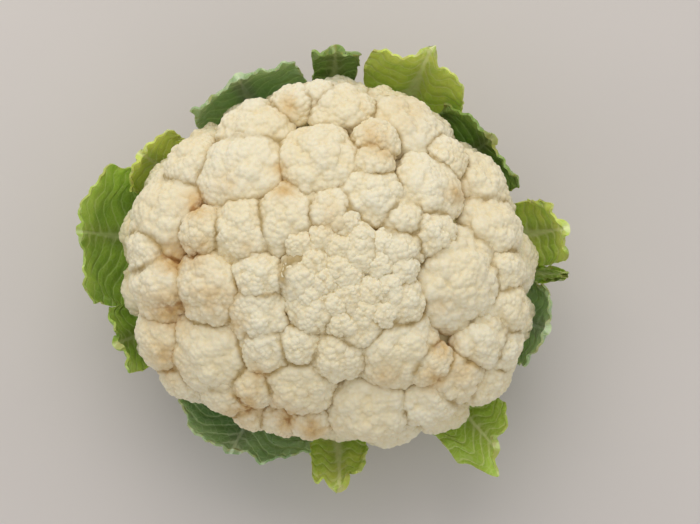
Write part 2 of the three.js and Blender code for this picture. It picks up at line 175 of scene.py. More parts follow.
class Wire:
    """A socket of one material, which takes part in sums."""

    def __init__(self, tree, socket=None):
        self.tree = tree
        self.socket = socket

    def node(self, kind, settings=None, sockets=None, output=0):
        made = self.tree.nodes.new(kind)
        for name, value in (settings or {}).items():
            if name == "stops":
                self.set_stops(made.color_ramp, value)
            else:
                setattr(made, name, value)
        for name, value in (sockets or {}).items():
            if isinstance(value, Wire):
                self.tree.links.new(value.socket, made.inputs[name])
            else:
                made.inputs[name].default_value = value
        return Wire(self.tree, made.outputs[output])

    @staticmethod
    def set_stops(ramp, stops):
        while len(ramp.elements) < len(stops):
            ramp.elements.new(0.5)
        for element, (position, colour) in zip(ramp.elements, stops):
            element.position = position
            element.color = colour

    def math(self, operation, *values):
        return self.node("ShaderNodeMath", {"operation": operation}, dict(enumerate(values)))

    def __add__(self, other):
        return self.math("ADD", self, other)

    def __radd__(self, other):
        return self.math("ADD", other, self)

    def __sub__(self, other):
        return self.math("SUBTRACT", self, other)

    def __rsub__(self, other):
        return self.math("SUBTRACT", other, self)

    def __mul__(self, other):
        return self.math("MULTIPLY", self, other)

    def __rmul__(self, other):
        return self.math("MULTIPLY", other, self)

    def __truediv__(self, other):
        return self.math("DIVIDE", self, other)

    def __rtruediv__(self, other):
        return self.math("DIVIDE", other, self)

    def __pow__(self, other):
        return self.math("POWER", self, other)

    def ramp(self, start, stop):
        """A soft step from 0 at start to 1 at stop."""
        settings = {"interpolation_type": "SMOOTHSTEP"}
        return self.node("ShaderNodeMapRange", settings, {0: self, 1: start, 2: stop})

    def blend(self, first, second):
        """The first colour where this mask is 0 and the second where it is 1."""
        sockets = {0: self, MIX_FIRST: first, MIX_SECOND: second}
        return self.node("ShaderNodeMix", {"data_type": "RGBA"}, sockets, MIX_RESULT)

    def attribute(self, name):
        return self.node("ShaderNodeAttribute", {"attribute_name": name}, output="Fac")

    def place(self):
        return self.node("ShaderNodeTexCoord", output="Object")

    def noise(self, size, detail=2.0):
        """Noise whose features are about size metres across, from 0 to 1."""
        sockets = {"Vector": self.place(), "Scale": 1 / size, "Detail": detail}
        return self.node("ShaderNodeTexNoise", None, sockets)

    def cells(self, size, feature="F1"):
        """Distance from the middles or the edges of cells about size metres across."""
        sockets = {"Vector": self.place(), "Scale": 1 / size}
        return self.node("ShaderNodeTexVoronoi", {"feature": feature}, sockets, "Distance")


# %% Helpers for materials


def colour(red, green, blue):
    """A screen colour from 0 to 255 as the linear colour that shaders use."""
    parts = np.array([red, green, blue]) / 255
    linear = np.where(parts < 0.04045, parts / 12.92, ((parts + 0.055) / 1.055) ** 2.4)
    return (*linear.tolist(), 1)


def new_material(name):
    """An empty node material, with its surface shader and a Wire to build from."""
    material = bpy.data.materials.new(name)
    material.use_nodes = True
    shader = material.node_tree.nodes["Principled BSDF"]
    return material, shader, Wire(material.node_tree)


def feed(shader, **wires):
    """Joins wires, or sets values, on the shader's sockets: Base_Color means Base Color."""
    for name, value in wires.items():
        socket = shader.inputs[name.replace("_", " ")]
        if isinstance(value, Wire):
            value.tree.links.new(value.socket, socket)
        else:
            socket.default_value = value


print("Middle grey in linear light:", round(colour(128, 128, 128)[0], 3))

# %% [markdown]
# ## The table
#
# The table only has to be plain and pale, with the warm grey of limewashed wood.
# A faint cloudiness keeps it from looking like paper.

# %% Table material
TABLE_TONES = (colour(196, 188, 182), colour(214, 206, 199))
CLOUD_SIZE = 300 * MM

material, shader, wire = new_material("table_top")
cloud = wire.noise(CLOUD_SIZE, 3)
feed(shader, Base_Color=cloud.blend(*TABLE_TONES), Roughness=0.7)
table.data.materials.append(material)
print("Table material's nodes:", len(material.node_tree.nodes))

# %% [markdown]
# ## The dome that the florets touch
#
# Seen from above the head is not quite round: its outline is an ellipse with a few low
# swellings, each given by how many there are round the head, its height and where it tops.
# Over that outline stands a dome, with a shallower one under it. Both are formulas, so any
# point's place on or under the dome can be worked out.

# %% Dome
HEAD_HALF_X = 95 * MM
HEAD_HALF_Y = 87 * MM
SWELLINGS = [(1, 0.027, -76), (2, 0.036, -25), (3, 0.036, -39)]
HEAD_RISE = 62 * MM
HEAD_DROP = 42 * MM
RIM_SHARE = 0.97
TINY = 0.01


def outline_radius(azimuth):
    """Distance from the axis to the head's uneven outline at its widest plane."""
    swelling = 1
    for count, height, top in SWELLINGS:
        swelling = swelling + height * np.cos(count * (azimuth - math.radians(top)))
    return swelling / np.hypot(np.cos(azimuth) / HEAD_HALF_X, np.sin(azimuth) / HEAD_HALF_Y)


def share_of_outline(x, y):
    return np.hypot(x, y) / outline_radius(np.arctan2(y, x))


def point_on_dome(x, y):
    """The dome's point over x, y, or the nearest one on its rim."""
    across = share_of_outline(x, y)
    inward = min(1, RIM_SHARE / max(across, TINY))
    height = HEAD_RISE * math.sqrt(1 - (across * inward) ** 2)
    return np.array([x * inward, y * inward, height])


def slope_of_dome(point):
    outline = outline_radius(math.atan2(point[1], point[0]))
    return unit(point / np.array([outline, outline, HEAD_RISE]) ** 2)


def dome_distance(directions):
    """Distance from the head's middle to the dome that the florets touch."""
    x, y, z = directions.T
    rise = np.where(z > 0, HEAD_RISE, HEAD_DROP)
    return 1 / np.hypot(share_of_outline(x, y), z / rise)


def depth_under_dome(points):
    """How far points about the head's middle lie below the dome."""
    return dome_distance(unit(points)) - np.linalg.norm(points, axis=1)


print("Dome's half widths in mm:", [round(outline_radius(turn) / MM) for turn in (0, math.pi / 2)])

# %% [markdown]
# ## Where the florets grow
#
# The biggest florets are old ones near the rim, and the youngest crowd in a spiral at the growing
# point. The list gives the middle and radius of each floret that can be told apart from
# above. Nothing more is needed for its height: each of these florets touches the dome from
# inside. What is seen of it lies between its middle and the touching point, and the step from
# one to the other follows the dome's slope, so a few repeated guesses find the point.
# The oldest florets hang under the rim in two rings: count, radius, drop and inset of each.

# %% Florets seen from above
FLORET_MARGIN = 2.8
FACE_SHIFT = 0.5
FITTING_STEPS = 12

FLORETS_SEEN = [
    (-36.5, 38.5, 19), (-33, 58, 15.5), (-3, 42, 16), (7, 68, 12), (-14.5, 71, 8.5),
    (35.5, 59.5, 18), (21.5, 53, 7.5), (20.5, 42.5, 6), (42.5, 30.5, 14.5), (20, 26.5, 12.5),
    (69, 34.5, 14.5), (73.5, 13, 15), (56, -8, 20), (78, -4, 9), (79, -21, 10),
    (67, -35, 11.5), (77, -38, 9.5), (56, -50, 11.5), (45, -61, 11), (30, -36.5, 15.5),
    (20.5, -65, 18), (-13, -52, 14.5), (4.5, -39.5, 9.5), (-26, -36.5, 9.5), (-50, -41, 19),
    (-44.5, -57, 11.5), (-33, -54, 8.5), (-74, -35, 13), (-74, -11, 13), (-49, -11, 14),
    (-70.5, 19, 20), (-60.5, 43, 12), (-53, 12.5, 8), (-35.5, 13, 12.5), (-16, 17.5, 13),
    (1.5, 19, 9.5), (30, 5, 8.5), (14, 5, 7.5), (-28.5, -6.5, 9), (-10, -6.5, 9),
    (-28.5, -21, 11), (13, -25, 10.5), (-5.5, -21, 9), (30, -17, 9), (-11.5, -35, 7.5),
    (44.5, -44, 7.5), (53, 46, 8), (-34, -68, 8), (-21.5, -70.5, 8), (-9, -71.5, 8),
    (-4, 74, 7), (-79, 4.5, 10), (-68, -53, 9.5), (71, -53, 9.5), (45, 12, 8),
    (32, 18, 7),
]


def floret_on_dome(x, y, radius):
    """Middle and radius of a floret that touches the dome from inside, about the head's middle."""
    touching = point_on_dome(x, y)
    for _ in range(FITTING_STEPS):
        step = slope_of_dome(touching) * FACE_SHIFT * radius
        touching = point_on_dome(x + step[0], y + step[1])
    return (*(touching - slope_of_dome(touching) * radius), radius)


def seen_florets():
    return [
        floret_on_dome(x * MM, y * MM, (radius + FLORET_MARGIN) * MM) for x, y, radius in FLORETS_SEEN
    ]


print("Florets seen from above:", len(FLORETS_SEEN))

# %% Young and hidden florets
YOUNG_FLORETS = 23
YOUNG_MIDDLE = (9, -6)
YOUNG_STEP = 5.2
YOUNG_RADIUS = 6.6
UNDER_RINGS = [(21, 15, 4, 17.5), (17, 13.5, 20, 29)]
UNDER_UNEVENNESS = 0.2


def young_florets():
    florets = []
    for i in range(YOUNG_FLORETS):
        distance = YOUNG_STEP * math.sqrt(i)
        x = YOUNG_MIDDLE[0] + distance * math.cos(i * GOLDEN_ANGLE)
        y = YOUNG_MIDDLE[1] + distance * math.sin(i * GOLDEN_ANGLE)
        florets.append(floret_on_dome(x * MM, y * MM, YOUNG_RADIUS * MM))
    return florets


def florets_under_rim():
    florets = []
    for count, radius, drop, inset in UNDER_RINGS:
        for i in range(count):
            azimuth = 2 * math.pi * i / count
            shrink = 1 - UNDER_UNEVENNESS * math.sin(i * i) ** 2
            distance = outline_radius(azimuth) - inset * MM
            place = (distance * math.cos(azimuth), distance * math.sin(azimuth), -drop * MM)
            florets.append((*place, radius * shrink * MM))
    return florets


florets = np.array(seen_florets() + young_florets() + florets_under_rim())
print("Florets:", len(florets), "from", round(florets[:, 3].min() / MM, 1), "mm in radius")

# %% [markdown]
# ## Reading and moving a mesh's points
#
# A big floret has ten thousand points, so they are moved all at once as arrays. These
# helpers read the points of a piece, write them back, and keep a number at each
# point as an attribute, which the material reads later.

# %% Helpers for points


def read_points(piece, what="co"):
    values = np.empty(len(piece.data.vertices) * 3, np.float32)
    piece.data.vertices.foreach_get(what, values)
    return values.reshape(-1, 3).astype(float)


def write_points(piece, points):
    piece.data.vertices.foreach_set("co", points.astype(np.float32).ravel())
    piece.data.update()


def write_attribute(piece, name, values):
    layer = piece.data.attributes.new(name, "FLOAT", "POINT")
    layer.data.foreach_set("value", values.astype(np.float32))


def set_down(piece, name, slot, material, *nodes):
    """Names a finished piece, gives it its material and puts it in place of its CAD nodes."""
    piece.name = name
    piece.data.name = name
    piece.data.materials.clear()
    piece.data.materials.append(material)
    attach(piece, "root")
    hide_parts(*nodes)


# %% [markdown]
# ## Lumps on lumps
#
# A floret repeats itself: it is a ball of lobes, each lobe a ball of curdlets, each curdlet
# a ball of grains. A Displace modifier with a cell texture could raise such lumps, but
# its cells are cut anywhere by the surface and it leaves no record of where the
# creases are. So the lumps are raised in code: middles are spread evenly over the surface, each
# point finds the nearest one, and rises the higher the nearer it is. The creases
# fall where two lumps meet, and are kept as attributes for the colour.

# %% Raising domes
LUMPS = {
    "lobe": {"spacing": 13 * MM, "most": 0.8, "rise": 0.17},
    "curdlet": {"spacing": 5.6 * MM, "most": 0.42, "rise": 0.2},
    "grain": {"spacing": 2.2 * MM, "most": 0.25, "rise": 0.26},
}
DOME_REACH = 0.72
DOME_LIFT = 0.55
SIZE_SPREAD = 0.25
JITTER = 0.35


def spread_directions(count, random):
    """Even directions over a ball, each pushed a little off its place."""
    index = np.arange(count) + 0.5
    z = 1 - 2 * index / count
    width = np.sqrt(1 - z * z)
    turn = index * GOLDEN_ANGLE
    even = np.stack([width * np.cos(turn), width * np.sin(turn), z], axis=1)
    push = random.normal(size=(count, 3)) * JITTER * 2 / math.sqrt(count)
    return unit(even + push)


def nearest_share(points, middles, reaches):
    """Distance from each point to the nearest middle, as a share of that middle's reach."""
    products = points @ middles.T
    squares = (points**2).sum(1)[:, None] + (middles**2).sum(1)[None, :] - 2 * products
    return np.sqrt(np.clip(squares / reaches[None, :] ** 2, 0, None).min(axis=1))


def raise_domes(points, normals, middle, radius, lump, random):
    """Raises even domes over a ball and gives how near each point is to a crease, 0 to 1."""
    spacing = min(lump["spacing"], lump["most"] * radius)
    count = round(4 * math.pi * radius**2 / spacing**2)
    directions = spread_directions(count, random)
    facing = np.argmax(directions @ unit(points - middle).T, axis=1)
    sizes = 1 + random.uniform(-SIZE_SPREAD, SIZE_SPREAD, count)
    reaches = spacing * DOME_REACH * sizes
    share = np.clip(nearest_share(points, points[facing], reaches), 0, 1)
    height = lump["rise"] * spacing * (DOME_LIFT - share**2)
    return points + normals * height[:, None], share


print("Raised in turn:", ", ".join(LUMPS))

# %% [markdown]
# ## Bruises and painted shade bands
#
# Here and there the curd has bruised to ochre and brown. Noise could place such spots, but these
# are marks of this one head and not a pattern, so they are listed: the middle, size and
# strength of each, as seen from above. A few low on the near side are not bruises but painted
# shade, in the bands between the lower florets.

# %% Bruises and painted shade bands
# Most rows are real bruises; (25, -49) and (-21, -63) paint shade into the bands between the lower
# florets, and (-35, -62) is made stronger for that painted shade.
BRUISES_AND_SHADE_BANDS = [
    (-66, 2, 8, 1.0), (-57, 3, 6, 0.9), (-56, 25, 7, 1.0), (-69, -20, 10, 1.0), (-54, 6, 5, 0.8),
    (-71, -40, 7, 0.8), (-69, -47, 7, 0.6), (-18, 31, 5, 0.9), (-20, 40, 4, 0.7), (20, 53, 6, 0.8),
    (-47, -16, 9, 0.7), (-38, -26, 5, 0.6), (-29, -48, 5, 0.8), (-33, 6, 4, 0.6), (-35, -62, 8, 0.85),
    (25, 46, 4, 0.6), (50, -36, 6, 0.9), (46, -50, 6, 0.8), (58, -46, 8, 0.5), (2, 19, 7, 0.4),
    (-52, -12, 8, 0.6), (-40, -67, 9, 0.6), (-18, -69, 8, 0.8), (-7, -73, 7, 0.9), (56, 30, 5, 0.8),
    (36, 66, 9, 0.3), (-17, 68, 5, 0.7), (49, -19, 5, 0.4), (-44, 32, 7, 0.4), (25, -49, 6, 0.6),
    (-21, -63, 6, 0.7),
]


def bruise_and_shade_strength(points):
    """How strong the bruises and the painted shade bands are at each upright point about the head's
    middle, 0 to 1.
    """
    strength = np.zeros(len(points))
    for x, y, size, amount in BRUISES_AND_SHADE_BANDS:
        distance = np.hypot(points[:, 0] - x * MM, points[:, 1] - y * MM)
        strength = np.maximum(strength, amount * np.exp(-((distance / (size * MM)) ** 2)))
    return strength


print("Bruises:", len(BRUISES_AND_SHADE_BANDS))

# %% [markdown]
# ## One floret
#
# An icosphere is the right start, because its triangles are all alike. Most of a floret is buried,
# so its points are first crowded toward the side that shows. While it is still a plain ball,
# each point notes how close it is to a neighbouring floret, because the deep valleys between
# florets are where tan shade is painted. Then the ball is pressed toward the dome and gets its
# lobes, curdlets and grains in turn, each along the normals of the last. Small florets, and
# those low under the rim that are seen only past the leaves, start from a coarser ball.

# %% Floret builder
FLORET_PRESS = 0.75
CROWDING = 0.6
FINE_BALL = 6
COARSE_BALL = 5
FIRST_SEED = 100
BIG_FLORET = 10 * MM
LOW_FLORET = -15 * MM
VALLEY_WIDTH = 3.5 * MM
VALLEY_DEPTH = 2.5 * MM

head_middle = np.array([0, 0, HEAD_MIDDLE_HEIGHT])
floret_middles = florets[:, :3]
floret_radii = florets[:, 3]


def press(points):
    """Flattens florets toward the dome, because they grow pressed against each other."""
    raised = (1 - FLORET_PRESS) * depth_under_dome(points)
    return points + unit(points) * raised[:, None]


def valley_nearness(points, owner):
    """Mask for the painted valley shade: 1 where a point lies deep down on another floret, falling to 0 a
    valley's width away.
    """
    distances = np.linalg.norm(points[:, None, :] - floret_middles[None], axis=2) - floret_radii
    distances[:, owner] = np.inf
    age = smooth_ramp(YOUNG_RADIUS * MM, BIG_FLORET, floret_radii[owner])
    sunk = smooth_ramp(0, VALLEY_DEPTH, depth_under_dome(points))
    return age * sunk * (1 - smooth_ramp(0, VALLEY_WIDTH, np.abs(distances.min(axis=1))))


def add_floret(owner):
    """Builds one floret in place on the leaning plant and gives the piece."""
    random = np.random.default_rng(FIRST_SEED + owner)
    middle, radius = floret_middles[owner], floret_radii[owner]
    detail = FINE_BALL if radius > BIG_FLORET and middle[2] > LOW_FLORET else COARSE_BALL
    bpy.ops.mesh.primitive_ico_sphere_add(subdivisions=detail, radius=1)
    piece = bpy.context.object
    ball = middle + radius * unit(read_points(piece) + CROWDING * unit(middle))
    write_attribute(piece, "valley", valley_nearness(ball, owner))
    points = press(ball)
    for name, lump in LUMPS.items():
        write_points(piece, points)
        normals = read_points(piece, "normal")
        points, share = raise_domes(points, normals, middle, radius, lump, random)
        write_attribute(piece, f"{name}_crease", share)
    write_attribute(piece, "bruise", bruise_and_shade_strength(points))
    write_points(piece, lean(points + head_middle))
    bpy.ops.object.shade_smooth()
    return piece


print("Biggest floret in mm of radius:", round(floret_radii.max() / MM, 1))

# %% [markdown]
# ## The curd's colour
#
# Fresh curd is ivory, in patches a little yellower, where it is older. Creases are painted warmer
# than domes, as the light that bounces between their walls would make them, and the deep valleys
# between florets get a painted tan shade. Bruised places, and a few painted shade bands low on the
# near side, are first stained ochre and then, where they are worst, specked with brown. Fine pores
# give the grains their matt look.

# %% Curd material
CURD_TONES = {
    "young": colour(236, 227, 199),
    "old": colour(234, 221, 186),
    "crease": colour(222, 198, 142),
    # The valley colour is painted shade for the deep valleys between florets.
    "valley": colour(168, 142, 86),
    "stain_and_shade": colour(206, 166, 96),
    "bruise": colour(158, 110, 54),
}
PORE_SIZE = 0.9 * MM
PORE_DEPTH = 0.25 * MM
GLOW_DEPTH = 1.5 * MM
GLOW_SHARES = (1.0, 0.7, 0.35)


def curd_material():
    material, shader, wire = new_material("curd_ivory")
    grain = wire.attribute("grain_crease")
    curdlet = wire.attribute("curdlet_crease")
    lobe = wire.attribute("lobe_crease")
    valley = wire.attribute("valley")
    bruise = wire.attribute("bruise")
    patches = wire.noise(28 * MM, 3)
    ivory = patches.ramp(0.3, 0.7).blend(CURD_TONES["young"], CURD_TONES["old"])
    # Painted bounce light: creases of grains, curdlets and lobes are tinted warmer than the domes.
    warm = (grain**2 * 0.3 + curdlet**2 * 0.35 + lobe**3 * 0.25).ramp(0.05, 0.95)
    creased = (warm * 0.45).blend(ivory, CURD_TONES["crease"])
    # Painted shade: the deep valleys between florets are tinted tan brown, as their shade would darken
    # them.
    valley_shade_mask = valley**2 * wire.noise(12 * MM, 3).ramp(0.3, 0.6)
    deep = (valley_shade_mask * 0.9).blend(creased, CURD_TONES["valley"])
    # The bruise mask holds the painted shade bands too, so they get the ochre and the brown specks.
    cloudy = 0.35 + 0.65 * wire.noise(7 * MM, 3).ramp(0.3, 0.6)
    stained_and_shaded = (bruise * cloudy * 0.85).blend(deep, CURD_TONES["stain_and_shade"])
    speckle = wire.noise(3 * MM, 4).ramp(0.25, 0.65)
    brown = (bruise**2 * (0.15 + valley + 0.5 * lobe) * speckle).ramp(0.15, 0.8)
    feed(shader, Base_Color=(brown * 0.8).blend(stained_and_shaded, CURD_TONES["bruise"]))
    feed(shader, Roughness=0.62 + 0.18 * grain)
    pores = 1 - wire.cells(PORE_SIZE)
    bump = wire.node("ShaderNodeBump", None, {"Strength": 0.5, "Distance": PORE_DEPTH, "Height": pores})
    feed(shader, Normal=bump, Specular_IOR_Level=0.35)
    feed(shader, Subsurface_Weight=0.1, Subsurface_Scale=GLOW_DEPTH, Subsurface_Radius=GLOW_SHARES)
    return material


curd_finish = curd_material()
print("Curd material's nodes:", len(curd_finish.node_tree.nodes))

# %% Build the florets
curd_triangles = 0
for owner in range(len(florets)):
    floret = add_floret(owner)
    set_down(floret, f"floret_{owner + 1:02d}", "curd", curd_finish, "curd")
    curd_triangles += len(floret.data.polygons)
print("Curd triangles:", curd_triangles)

# %% [markdown]
# ## The stems under the florets
#
# Under the curd the florets' stems run together toward the stalk. They are seen only in gaps and
# from below, as thick pale ribs, so one closed ball is enough: its points are moved to
# the core's distance in each direction, which swells into a rib for every main branch.

# %% Core
CORE_SHARE = 0.82
NECK_HEIGHT = 38 * MM
BRANCHES = 11
BRANCH_RELIEF = 0.05
BRANCH_FADE = 0.5
CORE_TONES = (colour(226, 212, 164), colour(206, 198, 140))
STREAK_SIZE = 9 * MM


def core_distance(directions):
    """Distance from the head's middle to the core, which ends below at the neck."""
    x, y, z = directions.T
    azimuth = np.arctan2(y, x)
    underside = smooth_ramp(0, BRANCH_FADE, -z)
    branches = 1 + BRANCH_RELIEF * np.cos(BRANCHES * azimuth) * underside
    neck = (NECK_HEIGHT - HEAD_MIDDLE_HEIGHT) / np.minimum(z, -TINY)
    return np.minimum(CORE_SHARE * branches * dome_distance(directions), neck)


material, shader, wire = new_material("curd_stems")
streaks = wire.noise(STREAK_SIZE, 4).ramp(0.3, 0.7)
feed(shader, Base_Color=streaks.blend(*CORE_TONES), Roughness=0.6)
bpy.ops.mesh.primitive_ico_sphere_add(subdivisions=FINE_BALL, radius=1)
core = bpy.context.object
directions = unit(read_points(core))
write_points(core, lean(directions * core_distance(directions)[:, None] + head_middle))
bpy.ops.object.shade_smooth()
set_down(core, "curd_core", "curd", material, "curd")
print("Core triangles:", len(core.data.polygons))

# %% [markdown]
# ## The stalk
#
# The stalk is turned like a vase: a circle is extruded ring by ring, and every ring is scaled to
# the stalk's radius at its height. It is leaned with the plant and only then cut flat
# on the table, as the knife did it. Old stalks are fibrous, so the side gets fine
# upright ridges, and the cut face dries from pale green to straw with a darker ring.

# %% Stalk rings
STALK_HEIGHTS = (-6, 3, 12, 38)
STALK_RADII = (28, 28, 22, 24)
STALK_RINGS = 30
STALK_SIDES = 160

heights = np.linspace(STALK_HEIGHTS[0], STALK_HEIGHTS[-1], STALK_RINGS) * MM
radii = np.interp(heights / MM, STALK_HEIGHTS, STALK_RADII) * MM
bpy.ops.mesh.primitive_circle_add(
    vertices=STALK_SIDES, radius=radii[0], fill_type="NGON", location=(0, 0, heights[0])
)
stalk = bpy.context.object
bpy.ops.object.transform_apply(location=True)
bpy.ops.object.mode_set(mode="EDIT")
for i in range(1, STALK_RINGS):
    rise = heights[i] - heights[i - 1]
    share = radii[i] / radii[i - 1]
    bpy.ops.mesh.extrude_region_move(TRANSFORM_OT_translate={"value": (0, 0, rise)})
    bpy.ops.transform.resize(value=(share, share, 1))
bpy.ops.object.mode_set(mode="OBJECT")
print("Stalk points before the cut:", len(stalk.data.vertices))

# %% Ridges and cut
RIDGES = 37
RIDGE_HEIGHT = 0.35 * MM
RIDGE_WANDER = 3
WANDER_HEIGHT = 6 * MM
STALK_CREASE = math.radians(40)

points = read_points(stalk)
azimuth = np.arctan2(points[:, 1], points[:, 0])
wander = RIDGE_WANDER * np.sin(points[:, 2] / WANDER_HEIGHT)
ridge = RIDGE_HEIGHT * np.sin(RIDGES * azimuth + wander)
points[:, :2] *= (1 - ridge / STALK_RADII[0] / MM)[:, None]
write_points(stalk, lean(points))
bpy.ops.object.mode_set(mode="EDIT")
bpy.ops.mesh.select_all(action="SELECT")
bpy.ops.mesh.bisect(plane_co=(0, 0, 0), plane_no=(0, 0, 1), use_fill=True, clear_inner=True)
bpy.ops.mesh.select_all(action="SELECT")
bpy.ops.mesh.normals_make_consistent(inside=False)
bpy.ops.object.mode_set(mode="OBJECT")
bpy.ops.object.shade_smooth_by_angle(angle=STALK_CREASE)
print("Stalk faces:", len(stalk.data.polygons))

# %% Stalk material
SKIN_TONES = (colour(190, 192, 130), colour(170, 188, 112))
FACE_TONES = (colour(216, 212, 164), colour(168, 150, 96))
SKIN_HEIGHT = 30 * MM
FIBRE_SIZE = 4 * MM

material, shader, wire = new_material("stalk_skin")
place = wire.place()
x, y, z = (place.node("ShaderNodeSeparateXYZ", None, {0: place}, axis) for axis in "XYZ")
from_axis = (x * x + y * y) ** 0.5 / (STALK_RADII[0] * MM)
fibre = wire.noise(FIBRE_SIZE, 4)
skin = (z / SKIN_HEIGHT + 0.5 * fibre).ramp(0.3, 1.1).blend(*SKIN_TONES)
ring = from_axis.ramp(0.55, 0.68) * (1 - from_axis.ramp(0.68, 0.78))
face = (ring * 0.6 + 0.3 * fibre).blend(*FACE_TONES)
cut = 1 - z.ramp(0.1 * MM, 0.5 * MM)
feed(shader, Base_Color=cut.blend(skin, face), Roughness=0.6)
set_down(stalk, "stalk_cut_end", "stalk", material, "stalk")
print("Stalk material's nodes:", len(material.node_tree.nodes))

# %% [markdown]
# ## Thirteen leaves by their sizes
#
# Every leaf grew and was cut differently, so each has a row of its own: the azimuths of its root
# and its end in degrees, how far its end reaches from the axis, its height and its width,
# the layer that it lies in, how high its ruffles are, how much more one side flares, and
# a pointed tip given by how far it sticks out, where across the blade it is, and its
# breadth. The last word is the kind of green.

# %% Leaf sizes
LEAF_KEYS = (
    "root", "end", "reach", "height", "width", "layer", "wave", "skew",
    "peak", "peak_at", "peak_width", "tone",
)
LEAVES = [
    (18, 8, 105, 82, 30, 1, 2, -0.3, 0.03, -0.3, 0.5, "bright"),
    (38, 37, 90.5, 78, 50, 0, 1.5, 0.9, 0, 0, 1, "dark"),
    (60, 64, 100, 80, 48, 1, 2.5, -0.35, 0.18, 0, 0.13, "bright"),
    (99, 88, 93, 84, 21, 1, 2, 0, 0, 0, 1, "dark"),
    (112, 116, 90, 82, 54, 0, 2, -0.4, 0, 0, 1, "blue"),
    (150, 150, 96, 76, 33, 0, 2, 0.1, 0, 0, 1, "bright"),
    (168, 173, 110, 80, 66, 1, 2, -0.2, 0.06, -0.35, 0.35, "mid"),
    (197, 201, 100, 74, 31, 0, 1.5, 0.5, 0.18, 0.9, 0.4, "mid"),
    (238, 243, 96, 67, 66, 0, 2, -0.6, 0, 0, 1, "blue"),
    (262, 273, 98, 74, 26, 1, 2, -0.6, 0.1, -0.1, 0.25, "bright"),
    (291, 312, 112, 73, 35, 0, 2, -0.55, 0.06, -0.45, 0.25, "bright"),
    (331, 343, 102, 75, 40, 0, 2, 0, 0, 0, 1, "blue"),
    (340, 357, 106, 70, 4, 1, 0.5, 0, 0, 0, 1, "mid"),
]


def leaf_sizes(values):
    """One leaf's sizes by name, with its lengths in metres and its angles in radians."""
    leaf = dict(zip(LEAF_KEYS, values))
    leaf["phase"] = leaf["end"]
    for key in ("root", "end"):
        leaf[key] = math.radians(leaf[key])
    for key in ("reach", "height", "width", "wave"):
        leaf[key] = leaf[key] * MM
    return leaf


print("Leaves:", len(LEAVES))

# %% [markdown]
# ## The outline of a blade
#
# A point of a leaf is found from two numbers: how far it is along the leaf, from 0 at the root to
# 1 at the end, and how far across, from -1 at one edge to 1 at the other. The outline is a
# narrow foot that spreads into a blade. Its edges and its cut end get lobes and fine nicks
# from sine waves, shifted by the leaf's own phase so that no two leaves are alike.

# %% Blade outline
PETIOLE_WIDTH = 13.5 * MM
BLADE_START = 0.24
BLADE_FULL = 0.68
END_ROUNDING = 0.13
END_ROUNDING_POWER = 4
END_LOBE_DEPTH = 0.025
END_LOBES = 7
END_NOTCH_DEPTH = 0.012
END_NOTCHES = 13
END_NICK_DEPTH = 0.005
END_NICKS = (37, 23)
EDGE_LOBE_DEPTH = 0.04
EDGE_LOBES = 17
EDGE_NICK_DEPTH = 0.012
EDGE_NICKS = 53


def blade_end(leaf, across):
    """Where the cut end of the blade lies, as a share of the leaf's length."""
    phase = leaf["phase"]
    lobes = END_LOBE_DEPTH * np.sin(END_LOBES * across + phase)
    notches = END_NOTCH_DEPTH * np.sin(END_NOTCHES * across + 2 * phase)
    nicks = np.sin(END_NICKS[0] * across + phase) * np.sin(END_NICKS[1] * across - phase)
    tip = leaf["peak"] * np.exp(-(((across - leaf["peak_at"]) / leaf["peak_width"]) ** 2))
    rounding = END_ROUNDING * across**END_ROUNDING_POWER
    return 1 - rounding + lobes + notches + END_NICK_DEPTH * nicks + tip


def half_width(leaf, along):
    """Half the leaf's width at a share of its length."""
    spread = smooth_ramp(BLADE_START, BLADE_FULL, along)
    lobes = EDGE_LOBE_DEPTH * np.sin(EDGE_LOBES * along + leaf["phase"])
    edge = 1 + spread * (lobes + EDGE_NICK_DEPTH * np.sin(EDGE_NICKS * along))
    return (PETIOLE_WIDTH + (leaf["width"] - PETIOLE_WIDTH) * spread) * edge / 2


first_leaf = leaf_sizes(LEAVES[0])
print("First leaf's width in mm at half its length:", round(2 * half_width(first_leaf, 0.5) / MM, 1))

# %% [markdown]
# ## The bowl that the leaves lie in
#
# Each leaf starts at the stalk, runs out under the head, turns up round it and ends where it was
# cut. So the leaves share one form: a bowl a little wider than the head. These functions
# turn a point's two numbers into its place there. Outer leaves lie in a lower and wider
# bowl than inner ones, which lets blades overlap without touching.

# %% Leaf form
BOWL_DEPTH = 48 * MM
BOWL_CLEARANCE = 3.5 * MM
BOWL_SQUARENESS = 0.8
LAYER_DROP = 9 * MM
LAYER_STEP = 5 * MM
LEAF_ROOT_RADIUS = 21 * MM
FLARE_POWER = 5
EDGE_CURVE_START = 0.2
EDGE_CURVE_FULL = 0.9
TURN_DONE = 0.7


def bowl_share(value):
    return np.sign(value) * np.abs(value) ** BOWL_SQUARENESS


